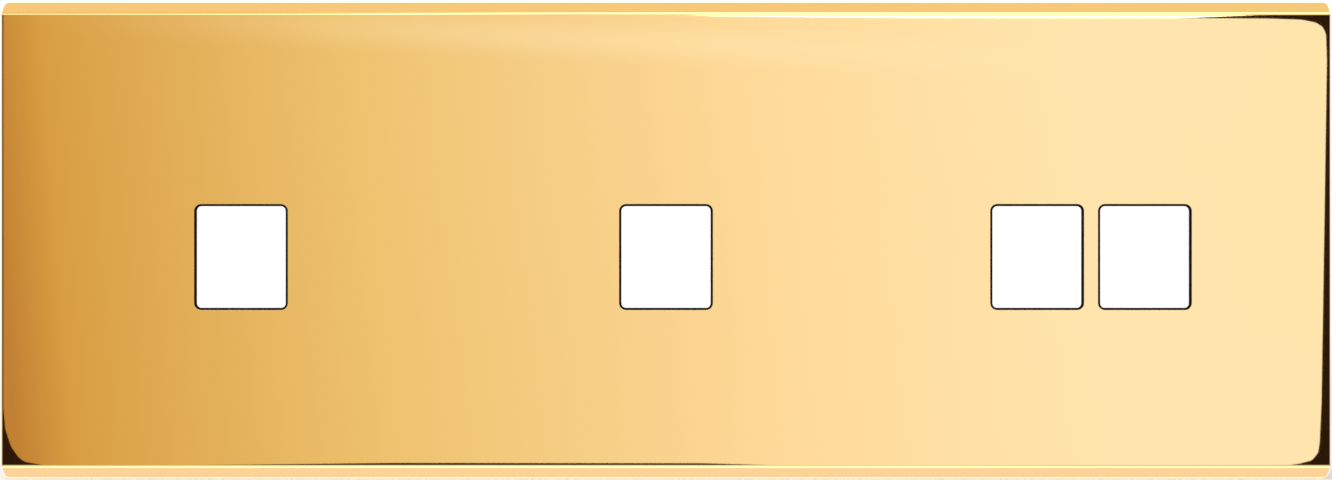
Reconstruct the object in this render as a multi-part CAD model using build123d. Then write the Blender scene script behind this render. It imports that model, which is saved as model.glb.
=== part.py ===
from build123d import *
from math import atan2, cos
import os

# Brass cover plate for snap-in modules on a row of wall boxes, in millimetres.
# X runs to the right as seen from the front, Y into the wall and Z up.
# The origin is the centre of the wall plane, on which the rear rim rests.

# Square wall frames that the plate covers, side by side, and where the ports sit in each gang
frame_size = 71.0
twin_pitch = 18.0
port_drop = 2.85

# Face plate
frame_margin = 4.5
plate_depth = 9.0
face_thickness = 2.0
wall_thickness = 2.0
side_lean = 2.0
rim_land = 1.2
rim_bend_radius = 8.0
corner_radius = 1.0
hollow_radius = 2.0
long_edge_radius = 0.55
end_edge_bevel = 0.15

# Port: the clear opening, and the spaces above and below it for the module's latch and hook
port_width = 15.0
port_height = 17.1
port_radius = 0.85
port_side_space = 0.55
lip = 0.3
port_depth = 10.0
port_wall = 1.5
latch_space = 3.6
latch_relief = 2.0
latch_ledge = 2.0
hook_space = 1.6
hook_ledge = 4.5

# Moulded insert
insert_width = 50.0
insert_end_space = 3.0
insert_radius = 3.0
insert_thickness = 1.6
rim_rib_width = 1.2
rim_rib_height = 1.0
gusset_width = 1.2
gusset_reach = 3.2

# Threaded bosses on the back of the face, and the seats on the insert that fit round them
boss_radius = 3.0
boss_clearance = 0.15
seat_inset = 3.5
seat_length = 6.6
seat_height = 2.1
seat_grip = 0.1
lug_width = 1.2
lug_height = 0.6
lug_clearance = 0.1

# M2.5 slotted cheese head screws, drawn at the thread's root: each holds an insert and a clip
screw_radius = 1.0
screw_hole_radius = 1.4
thread_clearance = 0.03
thread_floor = 0.8
tip_clearance = 0.3
head_radius = 2.25
head_height = 1.6
slot_width = 0.6
slot_depth = 0.7

# Leaf spring clip, which grips the top or bottom edge of a wall frame
clip_width = 12.0
clip_thickness = 0.5
clip_bend_radius = 0.8
clip_grip = 0.2
clip_spring = 0.9
clip_flare = 0.8
nose_setback = 1.5
clip_setback = 0.4
clip_tip_bevel = 1.2

# Ports of each gang, as sideways offsets from the gang's centre
gang_ports = {
    "left": [0.0],
    "middle": [0.0],
    "right": [-twin_pitch / 2, twin_pitch / 2],
}

# Sizes that follow from the ones above
gang_pitch = frame_size
plate_height = frame_size + 2 * frame_margin
plate_width = gang_pitch * (len(gang_ports) - 1) + plate_height
front = -plate_depth
face_back = front + face_thickness
seat_top = face_back + seat_height
boss_top = seat_top - seat_grip
insert_back = face_back + insert_thickness
insert_height = frame_size - 2 * insert_end_space
port_back = face_back + port_depth
thread_bottom = front + thread_floor
screw_tip = thread_bottom + tip_clearance
screw_height = insert_height / 2 - seat_inset
ends = {"top": 1, "bottom": -1}
cut_over = 1.0


def gang_centre(index):
    return (index - (len(gang_ports) - 1) / 2) * gang_pitch


def slab(outline, y_front, y_rear):
    """Extrude an outline drawn in the XZ plane, between two depths."""
    return extrude(Plane.XZ.offset(-y_rear) * outline, amount=y_rear - y_front)


def bar(section, width):
    """Extrude a section drawn in the YZ plane, evenly about X = 0."""
    return extrude(Plane.YZ * section, amount=width / 2, both=True)


def at_screws(outline):
    """The same outline at the top and the bottom screw of a gang."""
    return Sketch() + [Pos(0, end * screw_height) * outline for end in ends.values()]


def tray_section(half_height, front_half_height, y_front):
    """Section of the plate across X, with its top and bottom sides leaning outwards."""
    upper = [(0, half_height), (-rim_land, half_height), (y_front, front_half_height)]
    lower = [(y, -z) for y, z in reversed(upper)]
    return make_face(Polyline(*upper, *lower, close=True))


def tray_outside():
    section = tray_section(plate_height / 2, plate_height / 2 - side_lean, front)
    outline = RectangleRounded(plate_width, plate_height, corner_radius)
    solid = bar(section, plate_width)
    bend_edges = solid.edges().filter_by(Axis.X).group_by(Axis.Y)[-2]
    solid = fillet(bend_edges, rim_bend_radius)
    long_edges = solid.faces().sort_by(Axis.Y)[0].edges().filter_by(Axis.X)
    solid = fillet(long_edges, long_edge_radius)
    end_edges = solid.faces().sort_by(Axis.Y)[0].edges().filter_by(Axis.Z)
    return chamfer(end_edges, end_edge_bevel) & slab(outline, front, 0)


def tray_hollow():
    slant = atan2(side_lean, plate_depth - rim_land)
    half_height = plate_height / 2 - wall_thickness
    lean_at_face_back = side_lean * (-face_back - rim_land) / (plate_depth - rim_land)
    face_half_height = plate_height / 2 - lean_at_face_back - wall_thickness / cos(slant)
    section = tray_section(half_height, face_half_height, face_back)
    solid = bar(section, plate_width - 2 * wall_thickness)
    flats = solid.faces().filter_by(Axis.X)
    corners = [edge for flat in flats for edge in flat.edges().filter_by(Axis.Z, reverse=True)]
    return fillet(corners, hollow_radius)


def port_outline(grow=0.0):
    """Front opening of a port, or the same outline grown evenly all round."""
    return RectangleRounded(
        port_width + 2 * grow, port_height + 2 * grow, port_radius + grow
    )


def port_cuts(offsets, grow, y_front, y_rear):
    outline = port_outline(grow)
    return [slab(Pos(x, -port_drop) * outline, y_front, y_rear) for x in offsets]


def face_plate():
    plate = tray_outside() - tray_hollow()
    bosses = slab(at_screws(Circle(boss_radius)), face_back, boss_top)
    threads = at_screws(Circle(screw_radius + thread_clearance))
    threads = slab(threads, thread_bottom, boss_top)
    for index, offsets in enumerate(gang_ports.values()):
        place = Pos(gang_centre(index), 0, 0)
        plate += place * bosses
        plate -= place * threads
        plate -= [place * cut for cut in port_cuts(offsets, lip, front - cut_over, boss_top)]
    return plate


def port_pocket(offset):
    """Space behind the lip: the module's latch goes up into it, and its hook down."""
    low = -port_drop - port_height / 2
    high = -port_drop + port_height / 2
    profile = [
        (insert_back, high),
        (insert_back, high + latch_space),
        (port_back - latch_ledge, high + latch_space),
        (port_back - latch_ledge, high + latch_relief),
        (port_back + cut_over, high + latch_relief),
        (port_back + cut_over, low),
        (port_back - hook_ledge, low),
        (port_back - hook_ledge, low - hook_space),
        (insert_back, low - hook_space),
    ]
    pocket = bar(make_face(Polyline(*profile, close=True)), port_width + 2 * port_side_space)
    return Pos(offset, 0, 0) * pocket


def port_body(offsets):
    """Outside of the port housing, round all the ports of one insert."""
    width = offsets[-1] - offsets[0] + port_width + 2 * (port_side_space + port_wall)
    height = port_height + latch_space + hook_space + 2 * port_wall
    centre = -port_drop + (latch_space - hook_space) / 2
    body = slab(Pos(0, centre) * Rectangle(width, height), insert_back, port_back)
    return body, width, height, centre


def gusset(root_width):
    """Triangular web between the insert and a housing wall that stands at root_width."""
    start = root_width - port_wall / 2
    reach = root_width + gusset_reach
    profile = [
        (insert_back - insert_thickness / 2, start),
        (insert_back - insert_thickness / 2, reach),
        (insert_back, reach),
        (insert_back + gusset_reach, root_width),
        (insert_back + gusset_reach, start),
    ]
    return bar(make_face(Polyline(*profile, close=True)), gusset_width)


def gussets(offsets, width, height, centre):
    upright = gusset(height / 2)
    sideways = gusset(width / 2)
    webs = []
    for offset in offsets:
        webs.append(Pos(offset, 0, centre) * upright)
        webs.append(Pos(offset, 0, centre) * upright.rotate(Axis.Y, 180))
    webs.append(Pos(0, 0, centre) * sideways.rotate(Axis.Y, 90))
    webs.append(Pos(0, 0, centre) * sideways.rotate(Axis.Y, -90))
    return webs


def clip_seats():
    """Raised seats for the clips' feet, with a lug on each side that keeps a foot straight."""
    lug_offset = clip_width / 2 + lug_clearance + lug_width / 2
    seat_width = clip_width + 2 * (lug_clearance + lug_width)
    lugs = GridLocations(2 * lug_offset, 0, 2, 1) * Rectangle(lug_width, seat_length)
    seats = slab(at_screws(Rectangle(seat_width, seat_length)), face_back, seat_top)
    return seats + slab(at_screws(Sketch() + lugs), seat_top, seat_top + lug_height)


def insert(offsets):
    """One moulded insert: flat flange, stiffening rib, clip seats and port housing."""
    flange = RectangleRounded(insert_width, insert_height, insert_radius)
    rib = flange - RectangleRounded(
        insert_width - 2 * rim_rib_width,
        insert_height - 2 * rim_rib_width,
        insert_radius - rim_rib_width,
    )
    body, width, height, centre = port_body(offsets)
    solid = slab(flange, face_back, insert_back)
    solid += slab(rib, insert_back, insert_back + rim_rib_height)
    solid += [clip_seats(), body, *gussets(offsets, width, height, centre)]
    foot = at_screws(Rectangle(clip_width + 2 * lug_clearance, 2 * seat_inset))
    solid -= slab(foot, seat_top, seat_top + cut_over)
    boss_holes = at_screws(Circle(boss_radius + boss_clearance))
    solid -= slab(boss_holes, face_back - cut_over, seat_top + cut_over)
    solid -= port_cuts(offsets, 0, face_back - cut_over, insert_back + cut_over)
    solid -= [port_pocket(offset) for offset in offsets]
    return solid


def screw():
    """Cheese head screw on the Y axis, with its head bearing on a clip's foot."""
    head_seat = seat_top + clip_thickness
    head_top = head_seat + head_height
    profile = make_face(Polyline(
        (0, screw_tip), (screw_radius, screw_tip), (screw_radius, head_seat),
        (head_radius, head_seat), (head_radius, head_top), (0, head_top), close=True,
    ))
    slot = Rectangle(2 * head_radius + cut_over, slot_width)
    return revolve(profile, Axis.Y) - slab(slot, head_top - slot_depth, head_top + cut_over)


def fixing_screws():
    one = screw()
    return Compound([
        Pos(gang_centre(index), 0, end * screw_height) * one
        for index in range(len(gang_ports))
        for end in ends.values()
    ])


def clip():
    """Strip bent from a flat foot into a leg whose nose springs against the frame's edge."""
    middle = clip_thickness / 2
    foot_plane = seat_top + middle
    nose = frame_size / 2 - clip_grip + middle
    path = FilletPolyline(
        (foot_plane, screw_height - seat_length / 2),
        (foot_plane, nose + clip_spring),
        (-nose_setback, nose),
        (-clip_setback, nose + clip_flare),
        radius=clip_bend_radius,
    )
    strip = bar(trace(path, clip_thickness), clip_width)
    hole = Pos(0, screw_height) * Circle(screw_hole_radius)
    strip -= slab(hole, seat_top - cut_over, seat_top + clip_thickness + cut_over)
    tips = strip.faces().sort_by(Axis.Y)[-1].edges().sort_by(Axis.X)
    return chamfer([tips[0], tips[-1]], clip_tip_bevel)


os.makedirs("parts", exist_ok=True)
export_step(face_plate(), "parts/face_plate.step")
export_step(fixing_screws(), "parts/fixing_screws.step")
spring = clip()
for gang_index, (gang, port_offsets) in enumerate(gang_ports.items()):
    gang_place = Pos(gang_centre(gang_index), 0, 0)
    export_step(gang_place * insert(port_offsets), f"parts/{gang}_insert.step")
    for end_name, end_side in ends.items():
        turned = spring if end_side > 0 else spring.rotate(Axis.Y, 180)
        export_step(gang_place * turned, f"parts/{gang}_{end_name}_clip.step")
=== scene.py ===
"""Three-gang switch plate of polished brass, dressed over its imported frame.

Pieces are modelled in millimetres and written to their meshes in metres. X runs to the right as
seen from the front, Y into the wall and Z up, and the polished face looks along -Y.
"""
import logging
import math
from abc import ABC, abstractmethod
from dataclasses import dataclass
from enum import Enum, IntEnum

import bmesh
import bpy
from mathutils import Matrix, Vector


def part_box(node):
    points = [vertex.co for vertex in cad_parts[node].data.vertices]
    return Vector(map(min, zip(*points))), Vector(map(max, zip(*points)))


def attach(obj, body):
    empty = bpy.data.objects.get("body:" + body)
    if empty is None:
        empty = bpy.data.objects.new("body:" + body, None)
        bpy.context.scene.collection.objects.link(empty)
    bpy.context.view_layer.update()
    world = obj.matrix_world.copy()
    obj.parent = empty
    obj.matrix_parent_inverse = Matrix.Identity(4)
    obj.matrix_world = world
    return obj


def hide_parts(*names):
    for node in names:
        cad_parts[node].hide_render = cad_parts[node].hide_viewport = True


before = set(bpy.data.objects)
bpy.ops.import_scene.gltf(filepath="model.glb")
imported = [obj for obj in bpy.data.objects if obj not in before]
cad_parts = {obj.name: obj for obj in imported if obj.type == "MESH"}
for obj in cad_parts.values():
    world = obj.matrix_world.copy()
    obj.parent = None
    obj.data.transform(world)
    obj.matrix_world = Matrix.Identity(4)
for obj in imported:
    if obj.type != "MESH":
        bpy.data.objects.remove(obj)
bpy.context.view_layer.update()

Colour = tuple[float, float, float]
Triple = tuple[float, float, float]
Point = tuple[float, float]
Span = tuple[float, float]
Outline = tuple[Point, ...]
Stops = tuple[tuple[float, Colour], ...]
Socket = bpy.types.NodeSocket
Input = Socket | float | Colour
Material = bpy.types.Material
Piece = bpy.types.Object
Mesh = bmesh.types.BMesh
Vert = bmesh.types.BMVert
Edge = bmesh.types.BMEdge
Face = bmesh.types.BMFace

LOG = logging.getLogger("switch_plate")
BODY = "root"
MM = 0.001
QUARTER = math.radians(90)
UPRIGHT = Matrix.Rotation(QUARTER, 4, "X")
WHITE: Colour = (1.0, 1.0, 1.0)
LAMP_WHITE: Colour = (1.0, 1.0, 1.04)
HONEY: Colour = (0.98, 0.74, 0.38)
PEACH: Colour = (1.02, 0.83, 0.60)
DUSK: Colour = (0.026, 0.013, 0.006)

# Most of a noise pattern lies in this range.
NOISE_RANGE: Span = (0.3, 0.7)

# Points nearer than this, in millimetres, count as one.
CLOSE = 1e-4

# A rounded corner of a rectangle has this many edges.
CORNER_STEPS = 8

# The camera and the facing cards stand this far in front of the face, in metres. A facing card
# is larger than its image on the face by the factor SPREAD.
CAMERA_DISTANCE = 1.6
CARD_DISTANCE = 0.4
SPREAD = 1 + CARD_DISTANCE / CAMERA_DISTANCE

# The sweeps run round the plate between these angles from straight ahead, in degrees.
SWEEP_ARC: Span = (12.0, 100.0)


class Way(IntEnum):
    """Directions along Y."""

    FRONT = -1
    WALL = 1


class Side(IntEnum):
    """Sides as seen from the front."""

    LEFT = -1
    RIGHT = 1


class End(IntEnum):
    """Top and bottom, at each of which a gang has a screw and a spring clip."""

    TOP = 1
    BOTTOM = -1


class Gang(IntEnum):
    """The gangs of the plate, by their place from its middle."""

    LEFT = -1
    MIDDLE = 0
    RIGHT = 1


class BrassZone(IntEnum):
    """Material slots of the face plate."""

    POLISHED = 0
    SATIN = 1


class PlasticZone(IntEnum):
    """Material slots of an insert."""

    BODY = 0
    # The lips take the plastic with painted shade.
    LIP = 1


class Easing(Enum):
    """How a value runs from one end of a range to the other."""

    LINEAR = "LINEAR"
    SMOOTH = "SMOOTHSTEP"


@dataclass(frozen=True)
class Noise:
    """Noise pattern on a piece's object coordinates."""

    scale: float
    detail: float = 2.0
    roughness: float = 0.5
    stretch: Triple = (1.0, 1.0, 1.0)


class NodeSheet:
    """Lays out the shader nodes of one material or of the world."""

    # Numbers of the Mix node's colour sockets, which share their names with other sockets.
    COLOUR_A, COLOUR_B, COLOUR_RESULT = 6, 7, 2

    def __init__(self, tree: bpy.types.NodeTree) -> None:
        """Start on an empty sheet.

        Args:
            tree: node tree that is cleared and filled.
        """
        self.tree = tree
        self.tree.nodes.clear()

    def add(
        self, kind: str, inputs: dict[str | int, Input] | None = None, **settings: str
    ) -> bpy.types.Node:
        """Add a node.

        Args:
            kind: type of the node, such as ShaderNodeBump.
            inputs: socket names or numbers, each with a value or a socket to link from.
            settings: properties of the node itself.

        Returns:
            The new node.
        """
        node = self.tree.nodes.new(kind)
        for name, value in settings.items():
            setattr(node, name, value)
        for name, value in (inputs or {}).items():
            socket = node.inputs[name]
            if isinstance(value, Socket):
                self.tree.links.new(value, socket)
            else:
                socket.default_value = (*value, 1.0) if socket.type == "RGBA" else value
        return node

    def maths(self, operation: str, first: Input, second: Input) -> Socket:
        """Add a Math node and return its result socket."""
        return self.add("ShaderNodeMath", {0: first, 1: second}, operation=operation).outputs[0]

    def remap(
        self, value: Socket, source: Span, target: Span = (0.0, 1.0), easing: Easing = Easing.SMOOTH
    ) -> Socket:
        """Add a Map Range node.

        Args:
            value: socket to read.
            source: range that is read.
            target: range that it becomes.
            easing: how the value runs between the ends.

        Returns:
            The result socket.
        """
        node = self.add("ShaderNodeMapRange", {
            "Value": value, "From Min": source[0], "From Max": source[1],
            "To Min": target[0], "To Max": target[1],
        }, interpolation_type=easing.value)
        return node.outputs["Result"]

    def place(self, stretch: Triple = (1.0, 1.0, 1.0), turn: float = 0.0) -> Socket:
        """Add the object coordinates, stretched and turned.

        Args:
            stretch: factor along each axis.
            turn: angle about Y, in degrees.

        Returns:
            The vector socket.
        """
        mapping = self.add("ShaderNodeMapping", {
            "Vector": self.add("ShaderNodeTexCoord").outputs["Object"],
            "Rotation": (0.0, math.radians(turn), 0.0),
            "Scale": stretch,
        })
        return mapping.outputs["Vector"]

    def axes(self, turn: float = 0.0) -> bpy.types.NodeOutputs:
        """Return the sockets X, Y and Z of the object coordinates, turned about Y in degrees."""
        return self.add("ShaderNodeSeparateXYZ", {"Vector": self.place(turn=turn)}).outputs

    def noise(self, noise: Noise) -> Socket:
        """Add a Noise Texture.

        Args:
            noise: pattern to draw.

        Returns:
            Its factor socket.
        """
        node = self.add("ShaderNodeTexNoise", {
            "Vector": self.place(noise.stretch), "Scale": noise.scale,
            "Detail": noise.detail, "Roughness": noise.roughness,
        })
        return node.outputs["Fac"]

    def blend(self, factor: Input, first: Input, second: Input) -> Socket:
        """Mix two colours.

        Args:
            factor: share of the second colour.
            first: first colour.
            second: second colour.

        Returns:
            The result socket.
        """
        inputs = {"Factor": factor, self.COLOUR_A: first, self.COLOUR_B: second}
        return self.add("ShaderNodeMix", inputs, data_type="RGBA").outputs[self.COLOUR_RESULT]

    def ramp(self, factor: Socket, stops: Stops) -> Socket:
        """Add a Color Ramp.

        Args:
            factor: place on the ramp, from 0 to 1.
            stops: place and colour of each stop, in order.

        Returns:
            The colour socket.
        """
        node = self.add("ShaderNodeValToRGB", {"Fac": factor})
        elements = node.color_ramp.elements
        elements.remove(elements[1])
        for number, (position, colour) in enumerate(stops):
            stop = elements.new(position) if number else elements[0]
            stop.position, stop.color = position, (*colour, 1.0)
        return node.outputs["Color"]

    def bump(self, height: Socket, distance: float) -> Socket:
        """Add a Bump node of full strength and return its normal socket."""
        inputs = {"Height": height, "Distance": distance, "Strength": 1.0}
        return self.add("ShaderNodeBump", inputs).outputs["Normal"]

    def finish(self, shader: Socket, kind: str = "ShaderNodeOutputMaterial") -> None:
        """Link a shader to the output node."""
        self.add(kind, {"Surface": shader})

    def metal(self, colour: Socket, roughness: Socket, normal: Socket) -> None:
        """End the sheet with bare metal.

        Args:
            colour: colour of its reflections.
            roughness: roughness of its surface.
            normal: normal that holds its relief.
        """
        metal = self.add("ShaderNodeBsdfPrincipled", {
            "Base Color": colour, "Metallic": 1.0, "Roughness": roughness, "Normal": normal,
        })
        self.finish(metal.outputs["BSDF"])

    def glow(self, colour: Input, strength: float = 1.0) -> None:
        """End the sheet with a glowing surface."""
        glow = self.add("ShaderNodeEmission", {"Color": colour, "Strength": strength})
        self.finish(glow.outputs[0])


@dataclass(frozen=True)
class Finish(ABC):
    """Finish or glow of a surface, which becomes one material."""

    name: str

    @abstractmethod
    def lay_out(self, sheet: NodeSheet) -> None:
        """Lay out the shader nodes on the empty sheet of the material."""

    def make(self) -> Material:
        """Build the material.

        Returns:
            The new material.
        """
        material = bpy.data.materials.new(self.name)
        material.use_nodes = True
        self.lay_out(NodeSheet(material.node_tree))
        return material


@dataclass(frozen=True)
class PolishedBrass(Finish):
    """Mirror polished brass of the face and the outer sides, with a few fine scratches."""

    name: str = "polished_brass"
    colour: Colour = (0.94, 0.71, 0.35)
    warm_colour: Colour = (0.93, 0.68, 0.31)
    clouds: Noise = Noise(14.0, detail=3.0)
    hairs: Noise = Noise(60.0, detail=4.0, stretch=(1.0, 1.0, 55.0))
    hair_range: Span = (0.66, 0.78)
    wear: Noise = Noise(45.0)
    wear_range: Span = (0.5, 0.75)
    roughness: Span = (0.008, 0.09)
    waves: Noise = Noise(22.0, detail=1.0)
    wave_height: float = 1.2e-6

    def lay_out(self, sheet: NodeSheet) -> None:
        """Lay out colour clouds, scratches where the plate is wiped, and the polisher's waves.

        Args:
            sheet: empty sheet of the material.
        """
        hairs = sheet.remap(sheet.noise(self.hairs), self.hair_range)
        wear = sheet.remap(sheet.noise(self.wear), self.wear_range)
        scratches = sheet.maths("MULTIPLY", hairs, wear)
        sheet.metal(
            sheet.blend(sheet.noise(self.clouds), self.colour, self.warm_colour),
            sheet.remap(scratches, (0.0, 1.0), self.roughness),
            sheet.bump(sheet.noise(self.waves), self.wave_height),
        )


@dataclass(frozen=True)
class SatinBrass(Finish):
    """Unpolished brass inside the hollow back, with the marks of the milling cutter."""

    name: str = "satin_brass"
    colour: Colour = (0.80, 0.58, 0.28)
    tarnish_colour: Colour = (0.62, 0.41, 0.20)
    laps: Noise = Noise(12.0, detail=5.0, roughness=0.6, stretch=(4.0, 30.0, 260.0))
    lap_height: float = 2.5e-5
    clouds: Noise = Noise(30.0, detail=4.0)
    cloud_range: Span = (0.45, 0.75)
    tarnish: Span = (0.0, 0.6)
    roughness: Span = (0.30, 0.44)

    def lay_out(self, sheet: NodeSheet) -> None:
        """Lay out clouds of tarnish over the laps of the cutter.

        Args:
            sheet: empty sheet of the material.
        """
        laps = sheet.noise(self.laps)
        tarnish = sheet.remap(sheet.noise(self.clouds), self.cloud_range, self.tarnish)
        sheet.metal(
            sheet.blend(tarnish, self.colour, self.tarnish_colour),
            sheet.remap(laps, NOISE_RANGE, self.roughness),
            sheet.bump(laps, self.lap_height),
        )


@dataclass(frozen=True)
class MouldedPlastic(Finish):
    """Black moulded plastic with a fine spark-eroded grain."""

    name: str = "black_plastic"
    colour: Colour = (0.007, 0.007, 0.008)
    pale_colour: Colour = (0.017, 0.017, 0.018)
    flow: Noise = Noise(90.0, detail=3.0)
    grain: Noise = Noise(3800.0)
    grain_height: float = 2.2e-5
    roughness: Span = (0.40, 0.54)
    refraction: float = 1.5
    specular: float = 0.34

    def lay_out(self, sheet: NodeSheet) -> None:
        """Lay out the flow of the plastic in its mould and the grain.

        Args:
            sheet: empty sheet of the material.
        """
        flow = sheet.noise(self.flow)
        plastic = sheet.add("ShaderNodeBsdfPrincipled", {
            "Base Color": sheet.blend(flow, self.colour, self.pale_colour),
            "Roughness": sheet.remap(flow, NOISE_RANGE, self.roughness),
            "IOR": self.refraction,
            "Specular IOR Level": self.specular,
            "Normal": sheet.bump(sheet.noise(self.grain), self.grain_height),
        })
        sheet.finish(plastic.outputs["BSDF"])


# Copy of the black plastic for the lips in the plate's cut-outs. Its darker colour and weak reflection
# are painted shade, for the shade that the cut-out walls cast on the lips; its higher roughness is a
# matt finish.
SHADED_LIP_PLASTIC = MouldedPlastic(
    "lip_plastic_painted_shade", colour=(0.002, 0.002, 0.002), pale_colour=(0.005, 0.005, 0.005),
    roughness=(0.6, 0.7), specular=0.06,
)


@dataclass(frozen=True)
class ZincPlate(Finish):
    """Bright zinc plating of the screws, slightly blue and uneven, with yellow stains."""

    name: str = "zinc_plate"
    colour: Colour = (0.74, 0.75, 0.76)
    blue_colour: Colour = (0.62, 0.66, 0.72)
    yellow_colour: Colour = (0.74, 0.70, 0.60)
    drift: Noise = Noise(420.0)
    drift_range: Span = (0.35, 0.65)
    stains: Noise = Noise(900.0)
    stain_range: Span = (0.55, 0.8)
    staining: Span = (0.0, 0.5)
    roughness: Span = (0.22, 0.34)
    crystals: Noise = Noise(6500.0, detail=3.0)
    crystal_height: float = 3.0e-6

    def lay_out(self, sheet: NodeSheet) -> None:
        """Lay out the drift of the plating's colour, its stains and its crystals.

        Args:
            sheet: empty sheet of the material.
        """
        drift = sheet.noise(self.drift)
        stain = sheet.remap(sheet.noise(self.stains), self.stain_range, self.staining)
        tint = sheet.blend(sheet.remap(drift, self.drift_range), self.colour, self.blue_colour)
        sheet.metal(
            sheet.blend(stain, tint, self.yellow_colour),
            sheet.remap(drift, NOISE_RANGE, self.roughness),
            sheet.bump(sheet.noise(self.crystals), self.crystal_height),
        )


@dataclass(frozen=True)
class SpringSteel(Finish):
    """Rolled stainless strip, with rolling lines along the strip."""

    name: str = "spring_steel"
    colour: Colour = (0.60, 0.60, 0.61)
    dark_colour: Colour = (0.45, 0.45, 0.47)
    lines: Noise = Noise(5.0, detail=4.0, roughness=0.65, stretch=(900.0, 25.0, 25.0))
    line_height: float = 6.0e-6
    patches: Noise = Noise(260.0)
    roughness: Span = (0.24, 0.36)

    def lay_out(self, sheet: NodeSheet) -> None:
        """Lay out the rolling lines and patches of duller steel.

        Args:
            sheet: empty sheet of the material.
        """
        lines = sheet.noise(self.lines)
        sheet.metal(
            sheet.blend(lines, self.dark_colour, self.colour),
            sheet.remap(sheet.noise(self.patches), NOISE_RANGE, self.roughness),
            sheet.bump(lines, self.line_height),
        )


def bevel(
    bm: Mesh, geom: list[Edge] | list[Vert], offset: float, segments: int,
    affect: str = "EDGES", clamp: bool = False,
) -> None:
    """Round edges or corners.

    Args:
        bm: mesh that holds them.
        geom: edges or vertices to round.
        offset: width of the rounding on each side.
        segments: strips in the rounding.
        affect: EDGES or VERTICES.
        clamp: whether roundings stop where they meet.
    """
    bmesh.ops.bevel(
        bm, geom=geom, offset=offset, segments=segments, profile=0.5, affect=affect, material=-1,
        clamp_overlap=clamp,
    )


def new_face(bm: Mesh, older: set[Face]) -> Face:
    """Return the face that isn't among the older ones."""
    return next(face for face in bm.faces if face not in older)


def rounded_face(bm: Mesh, size: Span, radius: float, centre: Point, depth: float) -> Face:
    """Add a flat rounded rectangle that faces the front.

    Args:
        bm: mesh to add to, in millimetres.
        size: width and height.
        radius: corner radius.
        centre: X and Z of its centre.
        depth: Y of its plane.

    Returns:
        The new face.
    """
    older = set(bm.faces)
    place = Matrix.Translation((centre[0], depth, centre[1])) @ UPRIGHT
    stretched = place @ Matrix.Diagonal((size[0], size[1], 1.0, 1.0))
    corners = bmesh.ops.create_grid(bm, x_segments=1, y_segments=1, size=0.5, matrix=stretched)
    bevel(bm, corners["verts"], radius, CORNER_STEPS, "VERTICES")
    return new_face(bm, older)


def round_face(bm: Mesh, radius: float, centre: Point, depth: float, sides: int) -> Face:
    """Add a flat disc that faces the front.

    Args:
        bm: mesh to add to, in millimetres.
        radius: radius of the disc.
        centre: X and Z of its centre.
        depth: Y of its plane.
        sides: edges round the disc.

    Returns:
        The new face.
    """
    older = set(bm.faces)
    place = Matrix.Translation((centre[0], depth, centre[1])) @ UPRIGHT
    bmesh.ops.create_circle(bm, cap_ends=True, radius=radius, segments=sides, matrix=place)
    return new_face(bm, older)


def step(bm: Mesh, face: Face, inset: float, shift: float) -> None:
    """Inset a face and move it along Y, leaving a sloping ring behind it.

    Args:
        bm: mesh that holds the face.
        face: face to move, which stays the innermost one.
        inset: distance by which its outline shrinks.
        shift: distance along Y.
    """
    bmesh.ops.inset_region(bm, faces=[face], thickness=inset, use_boundary=True, use_even_offset=True)
    bmesh.ops.translate(bm, verts=face.verts, vec=(0.0, shift, 0.0))


def drawn(bm: Mesh, face: Face, shift: float) -> Face:
    """Extrude a face along Y.

    Args:
        bm: mesh that holds the face.
        face: face to extrude.
        shift: distance along Y.

    Returns:
        The face at the end of the new walls.
    """
    fresh = bmesh.ops.extrude_face_region(bm, geom=[face, *face.edges])["geom"]
    verts = [item for item in fresh if isinstance(item, Vert)]
    bmesh.ops.translate(bm, verts=verts, vec=(0.0, shift, 0.0))
    return next(item for item in fresh if isinstance(item, Face))


def arc_legs(radius: float, steps: int) -> list[Point]:
    """Divide a quarter arc into chords.

    Args:
        radius: radius of the arc.
        steps: number of chords.

    Returns:
        The legs of each chord, along the arc's first direction and along its last.
    """
    angles = [QUARTER * number / steps for number in range(steps + 1)]
    return [
        (radius * (math.sin(end) - math.sin(start)), radius * (math.cos(start) - math.cos(end)))
        for start, end in zip(angles, angles[1:])
    ]


def turn_in(bm: Mesh, face: Face, radius: float, way: Way, steps: int) -> None:
    """Round the edge where a flat surface turns into a hole, closed so far by a face."""
    for inset, drop in arc_legs(radius, steps):
        step(bm, face, inset, way * drop)


def turn_over(bm: Mesh, face: Face, radius: float, way: Way, steps: int) -> None:
    """Round the edge where the wall of a boss turns into its flat top, a face."""
    for rise, inset in arc_legs(radius, steps):
        step(bm, face, inset, way * rise)


def opened(bm: Mesh, face: Face) -> None:
    """Remove a face and keep the edges round it."""
    bmesh.ops.delete(bm, geom=[face], context="FACES_ONLY")


def filled(bm: Mesh, depth: float, facing: Way) -> None:
    """Fill the flat area between the outline and the holes that lie open at one depth.

    Args:
        bm: mesh that holds the open edges.
        depth: Y of the area.
        facing: way that the area faces.
    """
    edges = [
        edge for edge in bm.edges
        if edge.is_boundary and all(abs(vert.co.y - depth) < CLOSE for vert in edge.verts)
    ]
    bmesh.ops.triangle_fill(
        bm, edges=edges, use_beauty=True, use_dissolve=False, normal=(0, facing, 0)
    )


def cut_away(bm: Mesh, point: Vector, outwards: Vector) -> None:
    """Cut a convex solid by a plane and close the cut.

    Args:
        bm: the solid.
        point: point on the plane.
        outwards: side of the plane that is removed.
    """
    everything = [*bm.verts, *bm.edges, *bm.faces]
    cut = bmesh.ops.bisect_plane(
        bm, geom=everything, dist=CLOSE / 10, plane_co=point, plane_no=outwards, clear_outer=True
    )
    rim = [item for item in cut["geom_cut"] if isinstance(item, Edge)]
    bmesh.ops.edgeloop_fill(bm, edges=rim)


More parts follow.
